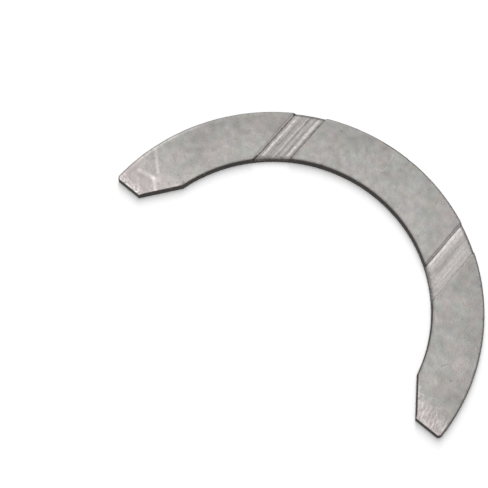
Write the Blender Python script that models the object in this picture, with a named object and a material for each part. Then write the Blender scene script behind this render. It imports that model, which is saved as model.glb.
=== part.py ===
"""Half-ring thrust washer with two straight oil grooves across its bearing face.

The washer is one flat stamping of bearing strip.  It lies on its back, bearing face up, with
its crown towards +Y and its two ends towards -Y.  Lengths are metres, angles are radians.
"""

from math import asin, ceil, cos, pi, radians, sin, sqrt, tan

import bmesh
import bpy

# Ring
BORE_RADIUS = 0.0404
BAND_WIDTH = 0.0136
OUTER_RADIUS = BORE_RADIUS + BAND_WIDTH
THICKNESS = 0.0023

# Ends
END_SETBACK = 0.0001       # from the ring's diameter line to each end face
END_LAND = 0.0077          # flat length of an end face, inward from the outer edge
RELIEF_RISE = 0.0095       # how far up the bore the slanted cut behind an end face reaches
TIP_RADIUS = 0.0010        # rounded outer corner of each end

# Broken edges
FACE_EDGE = 0.00040        # round the bearing face
BACK_EDGE = 0.00020        # round the back

# Oil grooves, parallel to the washer's centre line
GROOVE_OFFSET = 0.0265     # from the centre line to the middle of a groove
GROOVE_WIDTH = 0.0077      # across the mouth
GROOVE_DEPTH = 0.0010
GROOVE_SIDE_SLOPE = radians(51)
GROOVE_ROOT_RADIUS = 0.0006
CUTTER_OVERRUN = 0.0020    # how far a cutter runs past the metal

# Faceting
ARC_STEP = radians(1.5)
SMALL_ARC_STEP = radians(12)
EDGE_SEGMENTS = 2
SHARP_ANGLE = radians(32)


def clear_scene():
    for thing in list(bpy.data.objects):
        bpy.data.objects.remove(thing, do_unlink=True)


def arc_points(centre, radius, start, end, step):
    """Points along an arc from one angle to the other, both ends and the middle included."""
    half_spans = max(1, ceil(abs(end - start) / (2 * step)))
    angles = [start + (end - start) * i / (2 * half_spans) for i in range(2 * half_spans + 1)]
    return [(centre[0] + radius * cos(a), centre[1] + radius * sin(a)) for a in angles]


def washer_outline():
    """Plan of the half ring, anticlockwise, with the ring's centre at (0, 0)."""
    tip_y = END_SETBACK + TIP_RADIUS
    tip_x = sqrt((OUTER_RADIUS - TIP_RADIUS) ** 2 - tip_y ** 2)
    tip_angle = asin(tip_y / (OUTER_RADIUS - TIP_RADIUS))
    land_x = sqrt(OUTER_RADIUS ** 2 - END_SETBACK ** 2) - END_LAND
    bore_angle = asin((END_SETBACK + RELIEF_RISE) / BORE_RADIUS)

    outer_edge = arc_points((0, 0), OUTER_RADIUS, tip_angle, pi - tip_angle, ARC_STEP)
    bore_edge = arc_points((0, 0), BORE_RADIUS, pi - bore_angle, bore_angle, ARC_STEP)
    right_end = [(land_x, END_SETBACK)]
    right_end += arc_points((tip_x, tip_y), TIP_RADIUS, -pi / 2, tip_angle, SMALL_ARC_STEP)
    left_end = [(-x, y) for x, y in reversed(right_end)]
    return outer_edge[1:-1] + left_end + bore_edge + right_end


def drawn_solid(name, corners, travel):
    """A closed solid made by drawing one flat face along a straight line."""
    bm = bmesh.new()
    face = bm.faces.new([bm.verts.new(corner) for corner in corners])
    drawn = bmesh.ops.extrude_face_region(bm, geom=[face])["geom"]
    far_end = [item for item in drawn if isinstance(item, bmesh.types.BMVert)]
    bmesh.ops.translate(bm, verts=far_end, vec=travel)
    bmesh.ops.recalc_face_normals(bm, faces=bm.faces)
    mesh = bpy.data.meshes.new(name)
    bm.to_mesh(mesh)
    bm.free()
    solid = bpy.data.objects.new(name, mesh)
    bpy.context.scene.collection.objects.link(solid)
    return solid


def break_edges(solid, height, width):
    """Round off the rim that lies at one height."""
    bm = bmesh.new()
    bm.from_mesh(solid.data)
    on_rim = [abs(vert.co.z - height) < THICKNESS / 1000 for vert in bm.verts]
    rim = [edge for edge in bm.edges if all(on_rim[vert.index] for vert in edge.verts)]
    bmesh.ops.bevel(bm, geom=rim, offset=width, offset_type="OFFSET", affect="EDGES",
                    segments=EDGE_SEGMENTS, profile=0.5)
    bm.to_mesh(solid.data)
    bm.free()


def groove_section():
    """Section of a groove's cutter, left to right: (distance from its middle, height)."""
    floor_z = THICKNESS - GROOVE_DEPTH
    side_run = GROOVE_DEPTH / tan(GROOVE_SIDE_SLOPE)
    foot_x = GROOVE_WIDTH / 2 - side_run
    deepest_root = GROOVE_DEPTH / (1 - cos(GROOVE_SIDE_SLOPE))
    root_radius = min(GROOVE_ROOT_RADIUS, deepest_root / 2)
    root_centre = (foot_x - root_radius * tan(GROOVE_SIDE_SLOPE / 2), floor_z + root_radius)
    right = arc_points(root_centre, root_radius, -pi / 2, GROOVE_SIDE_SLOPE - pi / 2, SMALL_ARC_STEP)
    right.append((GROOVE_WIDTH / 2 + side_run, THICKNESS + GROOVE_DEPTH))
    return [(-x, z) for x, z in reversed(right)] + right


def cut_groove(washer, side, middle_x, centre_y):
    """Broach one straight groove right across the band."""
    corners = [(middle_x + x, centre_y, z) for x, z in groove_section()]
    reach = OUTER_RADIUS + CUTTER_OVERRUN
    cutter = drawn_solid("groove_cutter_" + side, corners, (0, reach, 0))
    cutter.hide_render = True
    cutter.display_type = "WIRE"
    cut = washer.modifiers.new("oil_groove_" + side, "BOOLEAN")
    cut.operation = "DIFFERENCE"
    cut.solver = "EXACT"
    cut.object = cutter


def bearing_metal():
    """Dull grey bearing metal."""
    material = bpy.data.materials.new("bearing_metal")
    material.use_nodes = True
    shader = material.node_tree.nodes["Principled BSDF"]
    shader.inputs["Base Color"].default_value = (0.42, 0.41, 0.395, 1)
    shader.inputs["Metallic"].default_value = 0.85
    shader.inputs["Roughness"].default_value = 0.42
    return material


def main():
    clear_scene()
    centre_y = -(END_SETBACK + OUTER_RADIUS) / 2
    plan = [(x, y + centre_y, 0) for x, y in washer_outline()]
    washer = drawn_solid("thrust_washer_half", plan, (0, 0, THICKNESS))
    break_edges(washer, THICKNESS, FACE_EDGE)
    break_edges(washer, 0, BACK_EDGE)
    washer.data.materials.append(bearing_metal())
    cut_groove(washer, "left", -GROOVE_OFFSET, centre_y)
    cut_groove(washer, "right", GROOVE_OFFSET, centre_y)
    washer.data.shade_smooth()
    washer.data.set_sharp_from_angle(angle=SHARP_ANGLE)


main()
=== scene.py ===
from math import cos, pi, radians, sin

import bmesh
import bpy
from mathutils import Matrix, Vector


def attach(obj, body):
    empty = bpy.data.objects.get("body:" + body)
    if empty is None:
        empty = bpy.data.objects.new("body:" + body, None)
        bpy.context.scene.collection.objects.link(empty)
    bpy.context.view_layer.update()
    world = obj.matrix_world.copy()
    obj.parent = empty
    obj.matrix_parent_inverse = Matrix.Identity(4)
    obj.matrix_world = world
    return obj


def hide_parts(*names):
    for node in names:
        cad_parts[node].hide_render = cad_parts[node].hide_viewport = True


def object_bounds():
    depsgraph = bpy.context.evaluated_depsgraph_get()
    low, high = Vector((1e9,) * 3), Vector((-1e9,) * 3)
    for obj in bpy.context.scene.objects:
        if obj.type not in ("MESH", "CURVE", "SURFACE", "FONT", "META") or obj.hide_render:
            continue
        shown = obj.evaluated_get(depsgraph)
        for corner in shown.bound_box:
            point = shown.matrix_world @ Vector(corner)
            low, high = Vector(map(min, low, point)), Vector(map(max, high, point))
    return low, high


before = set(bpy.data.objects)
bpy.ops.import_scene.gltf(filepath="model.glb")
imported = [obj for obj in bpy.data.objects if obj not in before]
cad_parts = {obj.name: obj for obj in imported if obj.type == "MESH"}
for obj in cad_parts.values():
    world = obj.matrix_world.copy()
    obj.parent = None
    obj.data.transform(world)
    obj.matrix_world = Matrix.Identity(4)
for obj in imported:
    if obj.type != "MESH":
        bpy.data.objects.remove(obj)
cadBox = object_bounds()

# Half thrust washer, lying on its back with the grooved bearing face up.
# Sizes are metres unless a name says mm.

mm = 1000                        # millimetres in a metre
print("stage: frame loaded")


class Wire:  # one output socket, usable in sums
    def __init__(self, graph, socket):
        self.graph = graph
        self.socket = socket

    def maths(self, operation, *values):
        return self.graph.maths(operation, *values)

    def other(self, name):
        return Wire(self.graph, self.socket.node.outputs[name])

    def __add__(self, other):
        return self.maths("ADD", self, other)

    def __radd__(self, other):
        return self.maths("ADD", other, self)

    def __sub__(self, other):
        return self.maths("SUBTRACT", self, other)

    def __rsub__(self, other):
        return self.maths("SUBTRACT", other, self)

    def __mul__(self, other):
        return self.maths("MULTIPLY", self, other)

    def __rmul__(self, other):
        return self.maths("MULTIPLY", other, self)

    def __truediv__(self, other):
        return self.maths("DIVIDE", self, other)

    def __rtruediv__(self, other):
        return self.maths("DIVIDE", other, self)

    def __pow__(self, other):
        return self.maths("POWER", self, other)

    def __neg__(self):
        return self.maths("MULTIPLY", self, -1)

    def __abs__(self):
        return self.maths("ABSOLUTE", self)


class Graph:  # a node tree, of geometry or of a material
    def __init__(self, tree):
        self.tree = tree
        tree.nodes.clear()

    def add(self, kind, settings=None, sockets=None, out=0):
        node = self.tree.nodes.new(kind)
        for name, value in (settings or {}).items():
            setattr(node, name, value)
        for name, value in (sockets or {}).items():
            self.plug(value, node.inputs[name])
        return Wire(self, node.outputs[out]) if node.outputs else None

    def plug(self, value, socket):
        if isinstance(value, Wire):
            self.tree.links.new(value.socket, socket)
        else:
            socket.default_value = value

    def maths(self, operation, *values):
        return self.add("ShaderNodeMath", {"operation": operation}, dict(enumerate(values)))

    def vector(self, operation, *values, out=0):
        return self.add("ShaderNodeVectorMath", {"operation": operation}, dict(enumerate(values)), out)

    def xyz(self, x=0.0, y=0.0, z=0.0):
        return self.add("ShaderNodeCombineXYZ", {}, {"X": x, "Y": y, "Z": z})

    def split(self, value):
        x = self.add("ShaderNodeSeparateXYZ", {}, {"Vector": value})
        return x, x.other("Y"), x.other("Z")

    def step(self, value, low, high, smooth=False):  # 0 at low, 1 at high
        style = "SMOOTHSTEP" if smooth else "LINEAR"
        return self.add("ShaderNodeMapRange", {"interpolation_type": style},
                        {"Value": value, "From Min": low, "From Max": high})

    def between(self, start, end, share):
        return start + (end - start) * share

    def root(self, value):
        return self.maths("SQRT", value)

    def least(self, first, second):
        return self.maths("MINIMUM", first, second)

    def most(self, first, second):
        return self.maths("MAXIMUM", first, second)


# The washer's plan and section

endSetback = 0.0001              # from the ring's diameter line to the ends
washer = {
    "Outer radius": cadBox[1].y - cadBox[0].y + endSetback,
    "Bore radius": 0.0404,
    "Thickness": cadBox[1].z - cadBox[0].z,
    "End setback": endSetback,
    "End land": 0.0077,
    "Relief rise": 0.0095,
    "Tip radius": 0.0010,
    "Face edge": 0.0004,
    "Back edge": 0.0002,
    "Groove offset": 0.0265,
    "Groove width": 0.0077,
    "Groove depth": 0.0010,
    "Groove side": 0.0006,       # a sloped side with its cove, in plan
    "Groove slope": radians(72),
    "Root blend": 0.00035,
    "Shoulder": 0.0015,          # plain strip beside a groove
}
spans = {                        # faces along half the washer, from the crown to an end
    "crown": 76, "innerSide": 8, "floor": 30, "outerSide": 8, "shoulder": 5,
    "arm": 126, "relief": 40, "tip": 10,
}
bandSpans = 46                   # faces across the band
reliefPart = 0.9                 # share of the slanted cut passed before the rounded corner begins
ringCentre = Vector((0, cadBox[0].y - washer["End setback"], 0))


def sizeSockets(tree, others=()):
    for name in (*others, *washer):
        socket = tree.interface.new_socket(name, in_out="INPUT", socket_type="NodeSocketFloat")
        socket.default_value = washer.get(name, 0.0)


def stretchShares(g, line):      # how much of each stretch lies behind a line, 0 to 1
    shares = {}
    start = 0
    for name, count in spans.items():
        shares[name] = g.step(line, start, start + count)
        start += count
    return shares


def outlineGroup():              # a point of the plan, from its line, its place across and an inset
    tree = bpy.data.node_groups.new("washer plan", "GeometryNodeTree")
    sizeSockets(tree, ("Line", "Across", "Inset"))
    tree.interface.new_socket("Place", in_out="OUTPUT", socket_type="NodeSocketVector")
    g = Graph(tree)
    given = g.add("NodeGroupInput")
    size = {name: given.other(name) for name in washer}
    line, inset = given.other("Line"), given.other("Inset")
    share = stretchShares(g, abs(line))
    outer = size["Outer radius"] - inset
    bore = size["Bore radius"] + inset
    setback = size["End setback"]

    # straight lines across the crown and the grooves
    floorWidth = size["Groove width"] - size["Groove side"] * 2
    mouth = size["Groove offset"] - size["Groove width"] / 2
    sides = size["Groove side"] * (share["innerSide"] + share["outerSide"])
    x = mouth * share["crown"] + sides + floorWidth * share["floor"] + size["Shoulder"] * share["shoulder"]
    turnX = size["Groove offset"] + size["Groove width"] / 2 + size["Shoulder"]

    # the slanted cut, moved in by the inset, from the bore to the end face
    outerFull, boreFull = size["Outer radius"], size["Bore radius"]
    landX = g.root(outerFull ** 2 - setback ** 2) - size["End land"]
    cornerY = setback + size["Relief rise"]
    cornerX = g.root(boreFull ** 2 - cornerY ** 2)
    runX, runY = cornerX - landX, cornerY - setback
    run = g.root(runX ** 2 + runY ** 2)
    alongX, alongY = runX / run, runY / run
    startX, startY = landX + alongY * inset, setback - alongX * inset
    toLand = (inset + setback - startY) / alongY
    lowX, lowY = startX + alongX * toLand, startY + alongY * toLand
    half = startX * alongX + startY * alongY
    toBore = -half - g.root(half ** 2 - (startX ** 2 + startY ** 2 - bore ** 2))
    highX, highY = startX + alongX * toBore, startY + alongY * toBore

    # bore side
    boreStart = g.maths("ARCCOSINE", turnX / bore)
    boreEnd = g.maths("ARCTAN2", highY, highX)
    boreAngle = g.between(boreStart, boreEnd, share["arm"])
    down = share["relief"] * reliefPart + share["tip"] * (1 - reliefPart)
    boreX = g.between(bore * g.maths("COSINE", boreAngle), lowX, down)
    boreY = g.between(bore * g.maths("SINE", boreAngle), lowY, down)

    # outer side
    tip = size["Tip radius"]
    tipY = setback + tip
    tipX = g.root((outerFull - tip) ** 2 - tipY ** 2)
    tipAngle = g.maths("ARCTAN2", tipY, tipX)
    armStart = g.maths("ARCCOSINE", turnX / outer)
    armEnd = g.maths("ARCTAN2", cornerY, cornerX)
    armAngle = armStart + (armEnd - armStart) * share["arm"] + (tipAngle - armEnd) * share["relief"]
    roundAngle = g.between(tipAngle, -pi / 2, share["tip"])
    onTip = g.maths("GREATER_THAN", share["tip"], 0)
    roundX = tipX + (tip - inset) * g.maths("COSINE", roundAngle)
    roundY = tipY + (tip - inset) * g.maths("SINE", roundAngle)
    outerX = g.between(outer * g.maths("COSINE", armAngle), roundX, onTip)
    outerY = g.between(outer * g.maths("SINE", armAngle), roundY, onTip)

    # straight part or arm, and the place across the band
    onArm = g.maths("GREATER_THAN", share["arm"], 0)
    boreX = g.between(x, boreX, onArm)
    boreY = g.between(g.root(g.most(bore ** 2 - x ** 2, 0)), boreY, onArm)
    outerX = g.between(x, outerX, onArm)
    outerY = g.between(g.root(g.most(outer ** 2 - x ** 2, 0)), outerY, onArm)
    across = given.other("Across")
    side = g.maths("SIGN", line)
    placeX = g.between(boreX, outerX, across) * side
    placeY = g.between(boreY, outerY, across) + ringCentre.y
    g.add("NodeGroupOutput", {}, {"Place": g.xyz(placeX, placeY, 0)})
    return tree


# The washer's body, made by Geometry Nodes

skin = {
    "roundRings": 3,             # rings of faces over the rim's top edge
    "wallRings": 4,
    "backRings": 2,
    "hem": 0.0003,               # flat strip inside the back edge
    "grooveEdge": 0.3,           # how much of the rim's rounding is left where a groove runs out
    "grooveEdgeDepths": (0.0, 0.6),   # shares of the groove's depth
    "endEdge": 0.4,              # and along the end faces
    "weldGap": 0.000002,
    "sharpFrom": radians(32),
}
floorMarks = {                   # ridges that the broach left along the grooves
    "ridges": ((1.9, 0.000035, 3.0), (0.62, 0.00006, 11.0)),   # ridges a mm, height, seed
    "lengthwise": 0.03,          # how fast they change along the groove
    "from": 0.5,                 # share of the depth at which they begin
}
rimWear = {                      # how far the rim is bitten in, and the noise that does it
    "nick": {"scale": 0.35, "detail": 3.0, "roughness": 0.6, "seed": 5.0,
             "levels": (0.60, 0.78), "depth": 0.00022},
    "waver": {"scale": 1.1, "detail": 2.0, "roughness": 0.5, "seed": 9.0,
              "levels": (0.35, 0.75), "depth": 0.00003},
    "wallShare": 0.4,            # how much of a nick goes on down the wall
}


def bodyGroup(material):
    tree = bpy.data.node_groups.new("washer body", "GeometryNodeTree")
    tree.interface.new_socket("Geometry", in_out="OUTPUT", socket_type="NodeSocketGeometry")
    sizeSockets(tree)
    g = Graph(tree)
    given = g.add("NodeGroupInput")
    size = {name: given.other(name) for name in washer}
    plan = outlineGroup()

    def placeAt(inset):
        sockets = {"Line": line, "Across": across, "Inset": inset}
        sockets.update(size)
        return g.add("GeometryNodeGroup", {"node_tree": plan}, sockets)

    def kept(name, mesh, value, selection=True):
        return g.add("GeometryNodeStoreNamedAttribute", {"data_type": "FLOAT", "domain": "POINT"},
                     {"Geometry": mesh, "Selection": selection, "Name": name, "Value": value})

    def named(name):
        return g.add("GeometryNodeInputNamedAttribute", {"data_type": "FLOAT"}, {"Name": name})

    # a flat sheet whose columns are the lines across the band
    lines = sum(spans.values())
    sheet = g.add("GeometryNodeMeshGrid", {}, {
        "Size X": 2.0 * lines, "Size Y": 1.0, "Vertices X": 2 * lines + 1, "Vertices Y": bandSpans + 1})
    column, row = g.split(g.add("GeometryNodeInputPosition"))[:2]
    sheet = kept("line", sheet, g.maths("ROUND", column))
    sheet = kept("across", sheet, row + 0.5)
    line, across = named("line"), named("across")

    # the grooves' section
    share = stretchShares(g, abs(line))
    inX, inY = g.split(placeAt(0.0))[:2]
    steep = g.maths("TANGENT", size["Groove slope"])
    fromMouth = size["Groove width"] / 2 - abs(abs(inX) - size["Groove offset"])
    slopeDown = fromMouth * steep
    depth = g.add("ShaderNodeMath", {"operation": "SMOOTH_MIN"},
                  {0: slopeDown, 1: size["Groove depth"], 2: size["Root blend"]})
    inGroove = g.maths("GREATER_THAN", share["innerSide"], 0) * g.maths("LESS_THAN", share["outerSide"], 1)
    depth = g.most(depth, 0) * inGroove
    onFloor = g.step(depth, size["Groove depth"] * floorMarks["from"], size["Groove depth"], True)

    def ridges(rate, tall, seed):
        at = g.xyz(inX * mm * rate, inY * mm * rate * floorMarks["lengthwise"], seed)
        noise = g.add("ShaderNodeTexNoise", {"noise_dimensions": "3D"},
                      {"Vector": at, "Scale": 1.0, "Detail": 2.0, "Roughness": 0.5})
        return (noise - 0.5) * 2 * tall

    fine, coarse = floorMarks["ridges"]
    marks = ridges(*fine) + ridges(*coarse)
    top = size["Thickness"] - depth - marks * onFloor
    groove = depth / size["Groove depth"]

    def bites(scale, detail, roughness, seed, levels, depth):
        place = g.xyz(inX * mm, inY * mm, seed)
        noise = g.add("ShaderNodeTexNoise", {}, {
            "Vector": place, "Scale": scale, "Detail": detail, "Roughness": roughness})
        return g.step(noise, *levels, True) * depth

    nick, waver = bites(**rimWear["nick"]), bites(**rimWear["waver"])
    wallNick = rimWear["wallShare"]

    sheet = kept("top", sheet, top)
    sheet = kept("groove", sheet, groove)
    sheet = kept("nick", sheet, nick)
    sheet = kept("waver", sheet, waver)
    sheet = kept("rim", sheet, 0.0)
    top, groove, nick, waver = named("top"), named("groove"), named("nick"), named("waver")
    lessRound = g.between(1.0, skin["grooveEdge"], g.step(groove, *skin["grooveEdgeDepths"]))
    edge = size["Face edge"] * lessRound * g.between(1.0, skin["endEdge"], share["tip"])

    def ringPlace(inset, height):
        x, y = g.split(placeAt(inset))[:2]
        return g.xyz(x, y, height)

    mesh = g.add("GeometryNodeSetPosition", {}, {"Geometry": sheet, "Position": ringPlace(edge + nick, top)})

    # rings of faces down the rim, each drawn from the one before
    rings = []
    for i in range(1, skin["roundRings"] + 1):
        turn = i / skin["roundRings"] * pi / 2
        fade = 1 - i / skin["roundRings"]
        inset = edge * (1 - sin(turn)) + nick * (wallNick + (1 - wallNick) * fade) + waver
        rings.append((inset, top - edge * (1 - cos(turn)), i / skin["roundRings"]))
    backEdge = size["Back edge"]
    for i in range(1, skin["wallRings"] + 1):
        down = i / skin["wallRings"]
        inset = nick * wallNick * (1 - down) ** 2 + waver
        rings.append((inset, g.between(top - edge, backEdge, down), 1.0))
    for i in range(1, skin["backRings"] + 1):
        turn = i / skin["backRings"] * pi / 2
        rings.append((backEdge * (1 - cos(turn)) + waver, backEdge * (1 - sin(turn)), 1.0))
    rings.append((backEdge + skin["hem"], 0.0, 0.0))

    faceCount = g.add("GeometryNodeInputMeshEdgeNeighbors")      # the open edges have one face
    rim = g.add("FunctionNodeCompare", {"data_type": "INT", "operation": "EQUAL"}, {2: faceCount, 3: 1})
    for inset, height, rimShare in rings:
        drawn = g.add("GeometryNodeExtrudeMesh", {"mode": "EDGES"},
                      {"Mesh": mesh, "Selection": rim, "Offset Scale": 0.0})
        rim = drawn.other("Top")
        mesh = g.add("GeometryNodeSetPosition", {}, {
            "Geometry": drawn, "Selection": rim, "Position": ringPlace(inset, height)})
        mesh = kept("rim", mesh, rimShare, rim)

    # the back, filled in inside the last ring
    hem = g.add("GeometryNodeMeshToCurve", {}, {"Mesh": mesh, "Selection": rim})
    back = g.add("GeometryNodeFillCurve", {"mode": "TRIANGLES"}, {"Curve": hem})
    joined = g.add("GeometryNodeJoinGeometry")
    for piece in (mesh, back):
        tree.links.new(piece.socket, joined.socket.node.inputs[0])
    welded = g.add("GeometryNodeMergeByDistance", {}, {"Geometry": joined, "Distance": skin["weldGap"]})
    smooth = g.add("GeometryNodeSetShadeSmooth", {}, {"Geometry": welded})
    for name in ("line", "across", "top", "nick", "waver"):
        smooth = g.add("GeometryNodeRemoveAttribute", {}, {"Geometry": smooth, "Name": name})
    real = g.add("GeometryNodeRealizeInstances", {}, {"Geometry": smooth})
    done = g.add("GeometryNodeSetMaterial", {}, {"Geometry": real, "Material": material})
    g.add("NodeGroupOutput", {}, {"Geometry": done})
    return tree


def madeByNodes(name, tree, sizes):
    host = bpy.data.objects.new(name, bpy.data.meshes.new(name))
    bpy.context.scene.collection.objects.link(host)
    modifier = host.modifiers.new("nodes", "NODES")
    modifier.node_group = tree
    for item in tree.interface.items_tree:
        if item.item_type == "SOCKET" and item.in_out == "INPUT" and item.name in sizes:
            modifier[item.identifier] = sizes[item.name]
    seen = host.evaluated_get(bpy.context.evaluated_depsgraph_get())
    mesh = bpy.data.meshes.new_from_object(seen)
    host.modifiers.remove(modifier)
    host.data = mesh
    mesh.name = name
    bm = bmesh.new()
    bm.from_mesh(mesh)
    bmesh.ops.recalc_face_normals(bm, faces=bm.faces)
    openEdges = sum(len(edge.link_faces) != 2 for edge in bm.edges)
    bm.to_mesh(mesh)
    bm.free()
    mesh.set_sharp_from_angle(angle=skin["sharpFrom"])
    print(name + ":", len(mesh.vertices), "points,", len(mesh.polygons), "faces,", openEdges, "open edges")
    return host


# Finishes, on millimetres from the ring's centre.
# A noise is its size, seed and detail. Strokes are their lean, the number in a mm across them and
# along them, and a seed. A range runs from where something begins to where it is full.

face = {
    "grey": 0.195,               # linear
    "brightest": 0.95,
    "warm": (1.065, 1.0, 0.94, 1),
    "cool": (1.0, 1.004, 0.985, 1),
    "coolNoise": (2.6, 19),
    "pink": (1.03, 0.975, 1.0, 1),
    "green": (0.975, 1.015, 0.985, 1),
    "greenNoise": (3.4, 23),
    "tintLevels": (-0.4, 0.4),
    "boreLift": 0.10,            # lighter by the bore, darker by the outer edge
    "outerDrop": -0.07,
    # painted shade: the face darker towards the left, against the lamp's brighter reflection there
    "leftShade": -0.09,
    "leftRange": (25.0, -25.0),
    "patches": ((8.0, 1, 0.09), (3.8, 2, 0.105), (1.9, 3, 0.165)),   # size, seed, strength
    "mottle": ((0.95, 5, 0.32), (0.5, 6, 0.28)),
    "grain": {"noise": (0.28, 9, 1.0), "strength": 0.3},
    "metallic": 0.75,
    "roughness": 0.44,
    "unevenRoughness": 0.6,
    "markPolish": 0.3,           # how much smoother a bright scratch is
    "specular": 0.3,
    "bump": {"grain": 0.4, "mottle": 0.3, "marks": 0.5, "strength": 0.5, "depth": 0.0002},
}
edges = {                        # strips along the edges of the face
    "boreLip": {"noise": (1.0, 47), "waver": 0.25, "range": (1.0, 0.35), "strength": -0.35},
    "worn": {"noise": (1.2, 29), "levels": (-0.3, 0.3), "range": (1.4, 0.4), "strength": 0.08},
}
tips = {                         # scuffed ends, with ranges above the ring's diameter line
    "leftRange": (24.0, 4.0),
    "rightRange": (7.0, 2.5),
    "ragged": {"noise": (1.5, 27), "by": 2.5},
    "lifts": (0.31, 0.40),       # left, right
    "tint": (1.065, 0.978, 0.953, 1),
    "leftTintRange": (13.0, 7.0),
    "worn": {"from": (-33.0, -40.0), "strength": 0.24},     # stronger edge wear of the left end
    "strokes": {                 # on the right end
        "lines": (radians(-76), 1.9, 0.5, 21), "levels": (-0.25, 0.35), "middle": 0.4,
        "range": (6.5, 3.0), "strength": 0.55},
    "ticks": {                   # along the right slanted cut
        "lines": (radians(-62), 1.3, 0.5, 25), "levels": (-0.1, 0.3),
        "range": (10.0, 7.5), "fromCut": (1.7, 0.6), "strength": 0.32},
    "chips": {                   # along the left end face
        "noise": (0.8, 31), "levels": (-0.15, 0.25), "range": (2.1, 1.0), "strength": 0.8},
    "outerLine": {               # along the outer edge of the left end
        "noise": (1.0, 35), "levels": (-0.4, 0.1), "fromOuter": (1.5, 0.6),
        "from": (-46.0, -50.0), "strength": 0.22},
}
rimFinish = {
    "share": (0.0, 0.25),        # of the rim's own measure, 0 on the face and 1 on the wall
    "wallShare": (0.35, 0.95),
    "boreRound": 0.075,
    # painted light and shade: the outer rounding lighter on the left, towards the light, and darker on the
    # right, away from it
    "outerRoundsLitAndShaded": (0.26, 0.15), # left, right
    "outerRange": (-20.0, 20.0), # from the left tone to the right one
    "inner": (0.0, -0.5),        # how much nearer another edge is than the outer one
    "wall": 0.022,
    "mid": {"strength": 0.014, "height": 0.45, "range": (0.35, 0.05)},   # lighter band, in thicknesses
    "wallNoise": (0.7, 15, 3.0),
    "wallMottle": 0.5,
    "tint": (1.15, 0.98, 0.90, 1),
    "chips": {"noise": (0.8, 17, 3.0), "levels": (0.25, 0.6), "share": (0.95, 0.6), "strength": 0.30},
    "roughness": 0.6,
    "metallic": 0.35,
}
backFinish = {
    "grey": 0.24,
    "lift": 0.05,
    "brushed": (radians(12), 4.0, 0.05, 51),
    "range": (0.25, 0.05),       # up from the back
}
grooveFinish = {                 # pairs are for the left and the right groove, depths are shares
    "mouth": (0.0, 0.03),
    "foot": (0.5, 0.85),
    "floors": (0.187, 0.225),
    "streaks": 0.36,
    "coarse": (radians(90), 2.3, 0.12, 33),
    "fine": (radians(90), 4.5, 0.35, 38),
    "fineShare": 0.7,            # in the left groove alone
    "uneven": {"noise": (1.0, 53), "strengths": (0.22, 0.12)},
    # painted light and shade: each side of each groove gets its own tone by how it is lit
    "leftSidesPaintedShading": (1.0, 0.50),    # tones of the sides towards -X
    "rightSidesPaintedShading": (0.58, 1.0),   # and towards +X
    "sideTurn": (-1.0, 1.0),     # across the floor's middle
    # painted light: the lower part of the right groove's left side made bright
    "lowerSidePaintedLight": 0.95,           # lower part of the right groove's left side
    "lowerDepths": (0.15, 0.45),
    "sideMetallic": 0.1,
    # darker towards the bore end of the grooves, on the floors and the sides
    "boreEndDark": {                    # at the bore end of the grooves
        "noise": (0.8, 12), "waver": 0.9, "reaches": (1.8, 1.3), "full": 0.4,
        "tone": 0.085, "shares": (0.85, 0.6), "sideShare": 0.9},
    "lip": {                     # strip along the bore edge of each floor
        "noise": (0.8, 57), "waver": 0.15, "range": (0.7, 0.35), "tones": (0.03, 0.10)},
    "endLine": {                 # at the outer end of both floors
        "noise": (0.7, 43), "waver": 0.2, "range": (0.8, 0.45), "tone": 0.07, "share": 0.8},
    "tint": (1.05, 0.984, 0.963, 1),
    "tintDepths": (0.0, 0.5),
    "tintShare": 0.7,
}
streakForm = {
    "noise": (3.0, 41), "waver": 0.25,
    "core": 0.2,                 # share of the half width at full strength
    "lowEnd": (-0.6, 0.8),       # a streak fades between these distances from its ends
    "highEnd": (1.5, -1.5),
}
# streaks along the grooves: x, half width, from y, to y, strength
streaks = (
    (-29.08, 0.50, 30.3, 44.6, 0.12),
    (-27.95, 0.30, 30.3, 45.0, -0.03),
    (-26.8, 0.32, 31.5, 46.0, 0.05),
    (-26.15, 0.22, 31.5, 46.5, -0.04),
    (-25.6, 0.30, 32.5, 47.0, 0.035),
    (-24.8, 0.28, 33.0, 47.0, -0.04),
    (-24.05, 0.50, 33.5, 47.5, 0.12),
    (-23.1, 0.45, 33.5, 48.5, -0.07),
    (-26.3, 0.45, 44.2, 45.8, -0.07),
    (23.35, 0.60, 34.0, 49.0, 0.16),
    (24.4, 0.80, 34.0, 49.0, 0.05),
    (26.0, 0.60, 34.0, 44.5, -0.03),
    (27.6, 1.10, 32.0, 45.5, 0.03),
    (28.6, 0.90, 31.0, 44.5, 0.03),
)
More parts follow.
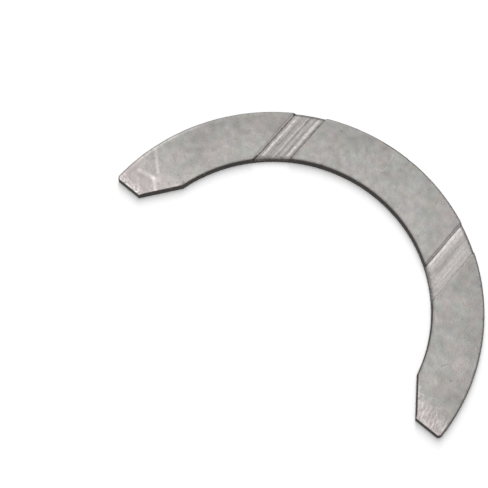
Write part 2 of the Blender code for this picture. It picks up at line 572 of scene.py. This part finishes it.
# scratches and painted shadow lines: from x, y to x, y, half width, strength
scratchesAndShadowLines = (
    (-51.7, 13.0, -46.8, 8.3, 0.70, 0.22),
    (-46.6, 6.3, -44.0, 4.2, 0.90, 0.28),
    (-50.9, 5.5, -45.0, 6.8, 0.90, 0.22),
    (-52.1, 9.8, -50.3, 11.1, 0.16, 0.14),
    (-49.7, 3.6, -47.5, 1.5, 0.6, 0.16),
    (-53.3, 2.4, -48.6, 1.1, 0.3, 0.22),
    (42.7, 5.9, 44.1, 6.1, 0.30, 0.26),
    (44.9, 4.3, 44.1, 5.6, 0.26, 0.24),
    (48.7, 3.4, 49.4, 1.9, 0.14, 0.26),
    (48.8, 1.7, 49.4, 0.6, 0.13, 0.2),
    (50.9, 2.5, 51.5, 0.9, 0.13, 0.24),
    (52.0, 2.6, 52.4, 0.9, 0.12, 0.2),
    (-2.7, 52.3, -2.3, 50.9, 0.13, 0.2),
    (-2.3, 50.9, -2.4, 49.7, 0.12, 0.18),
    (-2.4, 49.7, -1.9, 48.4, 0.12, 0.2),
    (-1.9, 48.4, -2.0, 46.9, 0.14, 0.22),
    (-2.0, 46.9, -3.6, 46.1, 0.15, 0.26),
    (52.1, 11.0, 52.3, 10.8, 0.16, 0.28),
    (46.4, 24.3, 46.9, 24.1, 0.26, 0.2),
    (48.8, 21.1, 49.0, 20.9, 0.16, 0.18),
    (42.7, 14.9, 43.4, 16.4, 0.30, -0.22),
    (38.7, 19.9, 40.2, 18.9, 0.24, -0.12),
    (46.9, 13.5, 47.0, 13.5, 0.42, -0.35),
    (-17.7, 48.6, -17.4, 48.6, 0.42, -0.34),
    (-18.7, 48.9, -18.4, 48.8, 0.3, -0.1),
    (-2.0, 51.9, -2.1, 51.2, 0.18, -0.18),
    (14.1, 49.0, 14.3, 48.9, 0.48, -0.26),
    (6.7, 44.9, 7.4, 44.9, 0.26, -0.1),
    (29.6, 28.1, 29.9, 28.4, 0.45, -0.45),
    (-53.2, 7.4, -51.9, 13.9, 0.7, 0.34),
    (-51.9, 13.9, -49.8, 19.8, 0.6, 0.26),
    (-49.8, 19.8, -47.3, 24.9, 0.4, 0.10),
    (-39.9, 10.5, -39.2, 9.9, 0.7, -0.35),
    (-16.0, 48.0, -10.0, 50.0, 5.5, -0.12),
    (42.0, 17.0, 48.0, 19.5, 4.5, 0.09),
    # painted shadow line along the left mouth of the right groove
    (22.42, 32.8, 22.42, 49.4, 0.36, -0.42),
    (-22.4, 33.6, -22.4, 37.0, 0.5, -0.22),
    # painted shadow line along the left mouth of the left groove
    (-30.5, 28.0, -30.5, 44.6, 0.35, -0.22),
    (-42.5, 13.0, -41.5, 15.0, 3.2, -0.13),
    (-32.5, 31.0, -39.5, 22.0, 4.2, 0.06),
    (33.0, 30.0, 35.5, 32.0, 4.5, 0.05),
    (17.0, 46.5, 19.0, 47.5, 4.5, 0.07),
    (-48.0, 14.5, -46.5, 17.0, 4.0, 0.07),
    (28.0, 38.0, 31.0, 33.0, 3.0, 0.03),
)
# faint scratches all over: strokes and strength
scuffs = (
    ((radians(25), 3.1, 0.12, 4.5), 0.035),
    ((radians(80), 2.6, 0.12, 5.5), 0.03),
    ((radians(-40), 3.6, 0.12, 6.5), 0.03),
)
seedSteps = (7.3, 3.1, 5.7)      # how far one seed's noise lies from the next


class Spot:  # a point of the washer's surface, in mm from the ring's centre
    def __init__(self, g):
        self.g = g
        self.bore, outer = washer["Bore radius"] * mm, washer["Outer radius"] * mm
        place = g.add("ShaderNodeTexCoord").other("Object")
        self.place = g.vector("MULTIPLY_ADD", place, (mm, mm, mm), tuple(ringCentre * -mm))
        self.x, self.y, self.z = g.split(self.place)
        self.flat = g.xyz(self.x, self.y, 0.0)
        self.onLeft = g.step(self.x, 0.0, -1.0)
        self.onRight = 1 - self.onLeft
        self.radius = g.root(self.x ** 2 + self.y ** 2)
        self.band = g.step(self.radius, self.bore, outer)    # 0 at the bore, 1 at the outer edge
        self.rim = g.add("ShaderNodeAttribute", {"attribute_name": "rim"}).other("Fac")
        self.groove = g.add("ShaderNodeAttribute", {"attribute_name": "groove"}).other("Fac")

        # distance in from the edges of the plan
        landX = outer - washer["End land"] * mm
        cornerY = (washer["End setback"] + washer["Relief rise"]) * mm
        cornerX = (self.bore ** 2 - cornerY ** 2) ** 0.5
        cut = Vector((cornerX - landX, cornerY, 0)).normalized()
        self.fromBore, self.fromOuter = self.radius - self.bore, outer - self.radius
        self.fromCut = (abs(self.x) - landX) * cut.y - self.y * cut.x
        self.edge = g.least(g.least(self.fromBore, self.fromOuter), g.least(self.fromCut, self.y))

        # what all finishes share
        self.patches = self.layers(face["patches"])
        self.mottle = self.layers(face["mottle"])
        self.grain = self.noise(*face["grain"]["noise"], solid=True) * face["grain"]["strength"]
        self.scuff = 0.0
        for lines, strength in scuffs:
            self.scuff = self.strokes(*lines) * strength + self.scuff
        self.marks = 0.0
        for mark in scratchesAndShadowLines:
            self.marks = self.nearSegment(mark) + self.marks
        self.ragged = self.y + self.noise(*tips["ragged"]["noise"]) * tips["ragged"]["by"]
        self.atTip = g.between(g.step(self.ragged, *tips["rightRange"], True),
                               g.step(self.ragged, *tips["leftRange"], True), self.onLeft)

    def sided(self, pair):       # the first value on the left, the second on the right
        return self.g.between(pair[1], pair[0], self.onLeft)

    def noise(self, size, seed, detail=2.0, solid=False):   # -1 to 1, the same at all heights unless solid
        place = self.place if solid else self.flat
        moved = self.g.vector("ADD", place, tuple(seed * step for step in seedSteps))
        noise = self.g.add("ShaderNodeTexNoise", {}, {
            "Vector": moved, "Scale": 1 / size, "Detail": detail, "Roughness": 0.55})
        return (noise - 0.5) * 2

    def layers(self, sizes):
        total = 0.0
        for size, seed, strength in sizes:
            total = self.noise(size, seed, 0.0) * strength + total
        return total

    def strokes(self, lean, fine, along, seed):   # -1 to 1, drawn out in one direction
        acrossIt = (self.x * -sin(lean) + self.y * cos(lean)) * fine
        alongIt = (self.x * cos(lean) + self.y * sin(lean)) * along
        noise = self.g.add("ShaderNodeTexNoise", {}, {
            "Vector": self.g.xyz(alongIt, acrossIt, seed), "Scale": 1.0, "Detail": 2.0, "Roughness": 0.5})
        return (noise - 0.5) * 2

    def nearSegment(self, mark):   # its strength on a short line, 0 beyond its half width
        x0, y0, x1, y1, halfWidth, strength = mark
        g = self.g
        run = Vector((x1 - x0, y1 - y0, 0))
        fromStart = g.vector("SUBTRACT", self.flat, (x0, y0, 0))
        share = g.vector("DOT_PRODUCT", fromStart, tuple(run / run.length_squared), out="Value")
        share = g.least(g.most(share, 0), 1)
        along = g.add("ShaderNodeVectorMath", {"operation": "SCALE"}, {0: tuple(run), "Scale": share})
        apart = g.vector("DISTANCE", fromStart, along, out="Value")
        return g.step(apart, halfWidth, 0.0, True) * strength


def tipWear(g, at):              # strokes, ticks, chips and a bright line on the ends
    kind = tips["strokes"]
    strokes = g.step(at.strokes(*kind["lines"]), *kind["levels"], True) - kind["middle"]
    strokes = strokes * g.step(at.y, *kind["range"], True) * at.onRight * kind["strength"]
    kind = tips["ticks"]
    ticks = g.step(at.strokes(*kind["lines"]), *kind["levels"], True) * g.step(at.y, *kind["range"])
    ticks = ticks * g.step(at.fromCut, *kind["fromCut"], True) * at.onRight * kind["strength"]
    kind = tips["chips"]
    chips = g.step(at.y, *kind["range"]) * at.onLeft
    chips = chips * g.step(at.noise(*kind["noise"]), *kind["levels"]) * kind["strength"]
    kind = tips["outerLine"]
    line = g.step(at.fromOuter, *kind["fromOuter"], True) * g.step(at.noise(*kind["noise"]), *kind["levels"])
    line = line * g.step(at.x, *kind["from"]) * kind["strength"]
    return chips, strokes, ticks, line


def faceTone(g, at):
    kind = edges["boreLip"]
    lip = g.step(at.fromBore + at.noise(*kind["noise"]) * kind["waver"], *kind["range"], True)
    lip = lip * kind["strength"]
    kind = edges["worn"]
    worn = g.step(at.edge, *kind["range"], True) * g.step(at.noise(*kind["noise"]), *kind["levels"])
    worn = worn * g.between(kind["strength"], tips["worn"]["strength"], g.step(at.x, *tips["worn"]["from"]))
    tone = g.between(face["boreLift"], face["outerDrop"], at.band)
    # painted shade: the face darker towards the left
    tone = tone + g.step(at.x, *face["leftRange"]) * face["leftShade"]
    tone = tone + at.atTip * at.sided(tips["lifts"]) + lip
    tone = tone + at.patches + at.mottle + at.grain + at.scuff + at.marks + worn
    for wear in tipWear(g, at):
        tone = tone + wear
    return (tone + 1.0) * face["grey"]


def grooveFloor(g, at):
    coarse = at.strokes(*grooveFinish["coarse"]) * grooveFinish["streaks"]
    fine = at.strokes(*grooveFinish["fine"]) * grooveFinish["streaks"] * grooveFinish["fineShare"]
    uneven = at.noise(*grooveFinish["uneven"]["noise"]) * at.sided(grooveFinish["uneven"]["strengths"])
    tone = coarse + fine * at.onLeft + uneven + at.mottle + at.grain + 1.0
    tone = tone * at.sided(grooveFinish["floors"])
    waver = at.noise(*streakForm["noise"]) * streakForm["waver"]
    lowFrom, lowTo = streakForm["lowEnd"]
    highFrom, highTo = streakForm["highEnd"]
    for middle, halfWidth, low, high, strength in streaks:
        line = g.step(abs(at.x - middle + waver), halfWidth, halfWidth * streakForm["core"], True)
        line = line * g.step(at.y, low + lowFrom, low + lowTo) * g.step(at.y, high + highFrom, high + highTo)
        tone = tone + line * (coarse + 1.0) * strength
    return tone


# painted light and shade: the tone of each groove side by how it is lit
def grooveSidesPaintedShading(g, at):
    leftSide = at.sided(grooveFinish["leftSidesPaintedShading"])
    lower = g.step(at.groove, *grooveFinish["lowerDepths"]) * at.onRight
    leftSide = g.between(leftSide, grooveFinish["lowerSidePaintedLight"], lower)
    rightSide = at.sided(grooveFinish["rightSidesPaintedShading"])
    aside = (abs(at.x) - washer["Groove offset"] * mm) * g.maths("SIGN", at.x)   # towards +X is positive
    return g.between(leftSide, rightSide, g.step(aside, *grooveFinish["sideTurn"]))


def grooveTone(g, at, foot):
    # darker towards the bore end of the grooves
    kind = grooveFinish["boreEndDark"]
    boreEndDark = g.step(at.radius + at.noise(*kind["noise"]) * kind["waver"],
                  at.bore + at.sided(kind["reaches"]), at.bore + kind["full"], True)
    floor = g.between(grooveFloor(g, at), kind["tone"], boreEndDark * at.sided(kind["shares"]))
    sides = g.between(grooveSidesPaintedShading(g, at), kind["tone"], boreEndDark * kind["sideShare"])
    tone = g.between(sides * (1 + at.grain + at.mottle), floor, foot)
    kind = grooveFinish["endLine"]
    atEnd = g.step(at.fromOuter + at.noise(*kind["noise"]) * kind["waver"], *kind["range"])
    tone = g.between(tone, kind["tone"], atEnd * kind["share"])
    kind = grooveFinish["lip"]
    onLip = g.step(at.fromBore + at.noise(*kind["noise"]) * kind["waver"], *kind["range"])
    return g.between(tone, at.sided(kind["tones"]), onLip)


def backTone(g, at):
    brushed = at.strokes(*backFinish["brushed"]) * backFinish["lift"]
    return (brushed + at.patches + at.grain + 1.0) * backFinish["grey"]


def rimTone(g, at, inner, onWall):
    thickness = washer["Thickness"] * mm
    kind = rimFinish["mid"]
    far, near = kind["range"]
    middle = g.step(abs(at.z - thickness * kind["height"]), thickness * far, thickness * near, True)
    wall = middle * kind["strength"] + rimFinish["wall"]
    wall = wall * (at.noise(*rimFinish["wallNoise"], solid=True) * rimFinish["wallMottle"] + 1)
    # painted light and shade on the outer rounding, lighter on the left and darker on the right
    outerRound = g.between(*rimFinish["outerRoundsLitAndShaded"], g.step(at.x, *rimFinish["outerRange"]))
    tone = g.between(g.between(outerRound, rimFinish["boreRound"], inner), wall, onWall)
    kind = rimFinish["chips"]
    chipped = g.step(at.noise(*kind["noise"], solid=True), *kind["levels"]) * g.step(at.rim, *kind["share"])
    return tone + chipped * kind["strength"]


def washerTint(g, at, bareRim):
    def mixed(first, second, share):   # sockets 6, 7 and 2 are the node's colours
        return g.add("ShaderNodeMix", {"data_type": "RGBA"}, {0: share, 6: first, 7: second}, 2)

    warmth = mixed(face["warm"], face["cool"], g.step(at.noise(*face["coolNoise"]), *face["tintLevels"]))
    hue = mixed(face["pink"], face["green"], g.step(at.noise(*face["greenNoise"]), *face["tintLevels"]))
    onTip = at.atTip * g.between(1.0, g.step(at.ragged, *tips["leftTintRange"], True), at.onLeft)
    tint = mixed(g.vector("MULTIPLY", warmth, hue), tips["tint"], onTip)
    deep = g.step(at.groove, *grooveFinish["tintDepths"]) * grooveFinish["tintShare"]
    tint = mixed(tint, grooveFinish["tint"], deep)
    return mixed(tint, rimFinish["tint"], bareRim)


def washerMetal():
    material = bpy.data.materials.new("bearingMetal")
    material.use_nodes = True
    g = Graph(material.node_tree)
    at = Spot(g)
    inGroove = g.step(at.groove, *grooveFinish["mouth"])
    foot = g.step(at.groove, *grooveFinish["foot"])      # 1 at the foot of a side
    inner = g.step(at.edge - at.fromOuter, *rimFinish["inner"])
    onRim = g.step(at.rim, *rimFinish["share"])
    onWall = g.step(at.rim, *rimFinish["wallShare"])

    tone = g.between(faceTone(g, at), grooveTone(g, at, foot), inGroove)
    tone = g.between(tone, backTone(g, at), g.step(at.z, *backFinish["range"]))
    tone = g.least(g.between(tone, rimTone(g, at, inner, onWall), onRim), face["brightest"])
    tint = washerTint(g, at, onRim * g.most(inner, onWall))
    colour = g.add("ShaderNodeVectorMath", {"operation": "SCALE"}, {0: tint, "Scale": tone})

    kind = face["bump"]
    height = at.grain * kind["grain"] + at.mottle * kind["mottle"] - at.marks * kind["marks"] + at.scuff
    bump = g.add("ShaderNodeBump", {}, {
        "Strength": kind["strength"], "Distance": kind["depth"], "Height": height})
    rough = (at.mottle + at.grain) * face["unevenRoughness"] + face["roughness"]
    rough = rough - g.most(at.marks, 0) * face["markPolish"]
    metallic = g.between(face["metallic"], rimFinish["metallic"], onRim)
    metallic = g.between(metallic, grooveFinish["sideMetallic"], inGroove * (1 - foot))
    shader = g.add("ShaderNodeBsdfPrincipled", {}, {
        "Base Color": colour, "Metallic": metallic, "Normal": bump,
        "Roughness": g.between(rough, rimFinish["roughness"], onRim),
        "Specular IOR Level": face["specular"]})
    g.add("ShaderNodeOutputMaterial", {}, {"Surface": shader})
    return material


metal = washerMetal()
print("stage: finish made")
washerPiece = madeByNodes("thrust_washer", bodyGroup(metal), washer)
print("stage: washer made")


# Floor, light and camera

ground = {
    "size": 1.8,
    "albedo": 0.8,
    "extra": 0.52,               # more of the same for rays that show the background
    "drop": 0.00002,
}
light = {
    "world": 0.29,
    "lamp": 9.2,                 # watts
    "lampSize": (0.4, 2.4),      # wide, tall
    "lampTurn": radians(128),
    "lampRise": radians(66),
    "lampAway": 0.9,
}
view = {
    "target": (-0.01719, 0.00828, 0.0),   # from the ring's centre
    "distance": 0.5084,
    "azimuth": radians(37.98),
    "elevation": radians(70.69),
    "roll": radians(2.288),
    "lens": 143.88,
    "sensor": 36,
    "nearest": 0.01,
}


def shownRays(g):                # 1 for rays that show the background
    path = g.add("ShaderNodeLightPath")
    shown = g.most(path.other("Is Camera Ray"), path.other("Is Glossy Ray"))
    return g.most(shown, path.other("Is Transmission Ray"))


def makeFloor():
    bpy.ops.mesh.primitive_plane_add(size=ground["size"], location=(0, 0, 0))
    plane = bpy.context.object
    plane.data.transform(Matrix.Translation((0, 0, -ground["drop"])))
    plane.name = "floor"
    material = bpy.data.materials.new("floorWhite")
    material.use_nodes = True
    g = Graph(material.node_tree)
    more = shownRays(g) * ground["extra"]
    base = g.add("ShaderNodeBsdfDiffuse", {}, {"Color": (ground["albedo"],) * 3 + (1,)})
    extra = g.add("ShaderNodeBsdfDiffuse", {}, {"Color": g.xyz(more, more, more)})
    both = g.add("ShaderNodeAddShader", {}, {0: base, 1: extra})
    g.add("ShaderNodeOutputMaterial", {}, {"Surface": both})
    plane.data.materials.append(material)


def makeLight():
    world = bpy.data.worlds.new("studio")
    world.use_nodes = True
    bpy.context.scene.world = world
    g = Graph(world.node_tree)
    strength = g.between(light["world"], 1.0, shownRays(g))
    sky = g.add("ShaderNodeBackground", {}, {"Color": (1, 1, 1, 1), "Strength": strength})
    g.add("ShaderNodeOutputWorld", {}, {"Surface": sky})
    lamp = bpy.data.lights.new("softbox", "AREA")
    lamp.energy = light["lamp"]
    lamp.shape = "RECTANGLE"
    lamp.size, lamp.size_y = light["lampSize"]
    box = bpy.data.objects.new("softbox", lamp)
    bpy.context.scene.collection.objects.link(box)
    turn, rise = light["lampTurn"], light["lampRise"]
    toLamp = Vector((cos(turn) * cos(rise), sin(turn) * cos(rise), sin(rise)))
    box.location = toLamp * light["lampAway"]
    box.rotation_euler = toLamp.to_track_quat("Z", "Y").to_euler()


def makeCamera():
    turn, rise, roll = view["azimuth"], view["elevation"], view["roll"]
    back = Vector((sin(turn) * cos(rise), -cos(turn) * cos(rise), sin(rise)))
    level = Vector((cos(turn), sin(turn), 0))
    upright = back.cross(level)
    right = level * cos(roll) + upright * sin(roll)
    up = upright * cos(roll) - level * sin(roll)
    place = ringCentre + Vector(view["target"]) + back * view["distance"]
    camera = bpy.data.objects.new("camera", bpy.data.cameras.new("camera"))
    bpy.context.scene.collection.objects.link(camera)
    camera.matrix_world = Matrix((right, up, back)).transposed().to_4x4()
    camera.location = place
    camera.data.lens = view["lens"]
    camera.data.sensor_width = view["sensor"]
    camera.data.clip_start = view["nearest"]
    bpy.context.scene.camera = camera


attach(washerPiece, "root")
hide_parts("thrust_washer_half")
makeFloor()
makeLight()
makeCamera()
bpy.context.scene.view_settings.view_transform = "Standard"

print("stage: scene ready")
